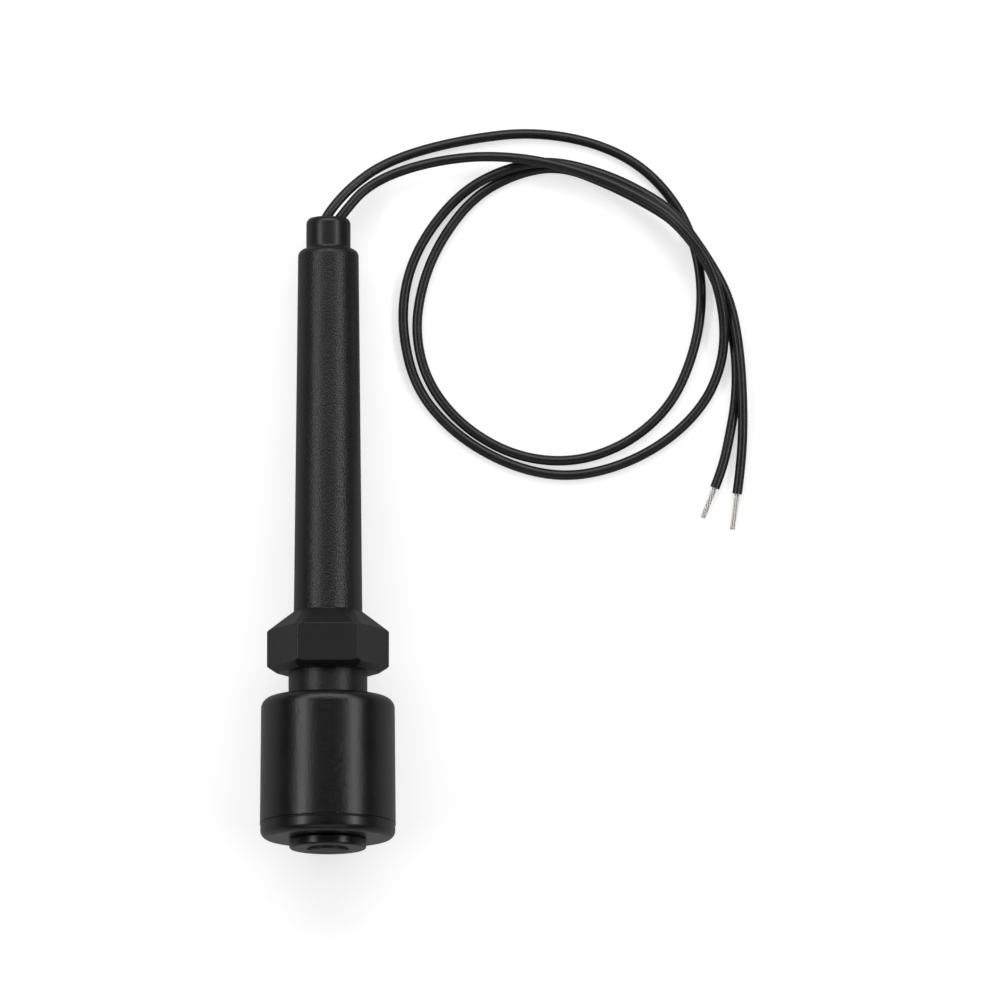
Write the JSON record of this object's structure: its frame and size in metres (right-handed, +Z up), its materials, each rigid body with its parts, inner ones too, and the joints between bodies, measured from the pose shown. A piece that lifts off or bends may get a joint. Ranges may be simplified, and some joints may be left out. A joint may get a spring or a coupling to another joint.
{
  "type": "float level switch",
  "caption": "Side-lying liquid level switch: hexagon and long tube, a magnet float that slides on a thin stem, a snap ring, and coiled flying leads.",
  "frame": {"origin": "bottom centre of the switch as it lies: the surface under it, midway between the stem's tip and the crest of the lead bush", "axes": "+Y along the switch towards its leads, +Z up from the surface, +X towards the coiled leads"},
  "size_m": [0.0891, 0.1339, 0.0263],
  "materials": {
    "grained_plastic": "moulded black, fine pebbled grain",
    "smooth_plastic": "moulded black, smooth satin",
    "potting_resin": "cast black resin, glossy",
    "magnet_ferrite": "sintered ferrite, dull dark grey",
    "reed_glass": "clear green-tinted glass",
    "plated_reed": "plated nickel-iron wire",
    "tinned_crimp": "tinned copper crimp, satin",
    "shrink_sleeve": "shrunk black sleeve, satin",
    "lead_insulation": "extruded charcoal insulation, soft sheen",
    "tinned_strands": "tinned copper strands, twisted"
  },
  "bodies": {
    "housing": {"stem_housing": "grained_plastic", "lead_bush": "smooth_plastic", "potting_compound": "potting_resin", "retaining_ring": "smooth_plastic", "reed_glass": "reed_glass", "reed_blade_lower": "plated_reed", "reed_blade_upper": "plated_reed", "lower_splice": "tinned_crimp", "upper_splice": "tinned_crimp", "lower_splice_sleeve": "shrink_sleeve", "upper_splice_sleeve": "shrink_sleeve", "left_lead_inner_insulation": "lead_insulation", "right_lead_inner_insulation": "lead_insulation", "left_lead_inner_core": "tinned_strands", "right_lead_inner_core": "tinned_strands", "left_lead": "lead_insulation", "right_lead": "lead_insulation", "left_lead_bare_end": "tinned_strands", "right_lead_bare_end": "tinned_strands"},
    "float": {"float_shell": "grained_plastic", "float_cap": "smooth_plastic", "ring_magnet": "magnet_ferrite"}
  },
  "joints": [
    {"name": "float_slide", "type": "slide", "parent": "housing", "child": "float", "axis": [0, 0.9968, -0.0794], "range_m": [0, 0.00435]}
  ]
}
